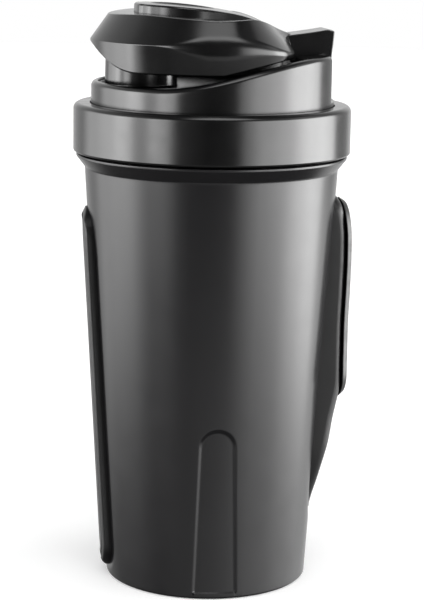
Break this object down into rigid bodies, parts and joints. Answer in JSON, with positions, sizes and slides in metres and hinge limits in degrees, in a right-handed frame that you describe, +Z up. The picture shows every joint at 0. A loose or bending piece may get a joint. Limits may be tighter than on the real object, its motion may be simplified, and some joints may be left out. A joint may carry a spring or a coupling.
{
  "type": "protein shaker bottle",
  "caption": "Tapered dark plastic protein shaker bottle with a black screw-on lid, a flip cap over its drinking spout and soft grips.",
  "frame": {"origin": "centre of the foot's resting plane, on the cup's axis, within 0.7 mm of the bounding box's bottom centre", "axes": "+Z up along the cup's axis; -X towards the drinking spout; +X towards the cap's hinge; -Y is the side with the arch panel"},
  "size_m": [0.0994, 0.098, 0.2058],
  "materials": {
    "cup_plastic": "satin dark grey injection-moulded plastic",
    "lid_plastic": "semi-gloss black injection-moulded plastic",
    "grip_rubber": "soft-touch thermoplastic rubber, dark grey",
    "seal_silicone": "translucent grey food-grade silicone",
    "steel_wire": "polished stainless steel wire"
  },
  "bodies": {
    "cup": {"cup": "cup_plastic", "front_grip": "grip_rubber", "rear_grip_pod": "grip_rubber", "rear_grip_pad": "grip_rubber"},
    "lid": {"upper_lid": "lid_plastic", "neck_gasket": "seal_silicone", "hinge_pin": "steel_wire"},
    "collar": {"collar": "lid_plastic"},
    "cap": {"cap_shell": "lid_plastic", "cap_top_plate": "lid_plastic", "spout_seal": "seal_silicone"},
    "ball": {"mixing_ball": "steel_wire"}
  },
  "joints": [
    {"name": "lid_lift", "type": "slide", "parent": "cup", "child": "lid", "axis": [0, 0, 1], "range_m": [0, 0.012]},
    {"name": "collar_turn", "type": "hinge", "parent": "lid", "child": "collar", "pos_m": [0, 0, 0.16], "axis": [0, 0, 1], "range_deg": [0, 540]},
    {"name": "cap_flip", "type": "hinge", "parent": "lid", "child": "cap", "pos_m": [0.033, 0, 0.1845], "axis": [0, 1, 0], "range_deg": [0, 100]},
    {"name": "ball_rattle", "type": "slide", "parent": "cup", "child": "ball", "axis": [0, 0, 1], "range_m": [0, 0.1]}
  ],
  "couplings": [
    {"joint": "collar_turn", "follows": "lid_lift", "rad_per_m": 785.4}
  ]
}
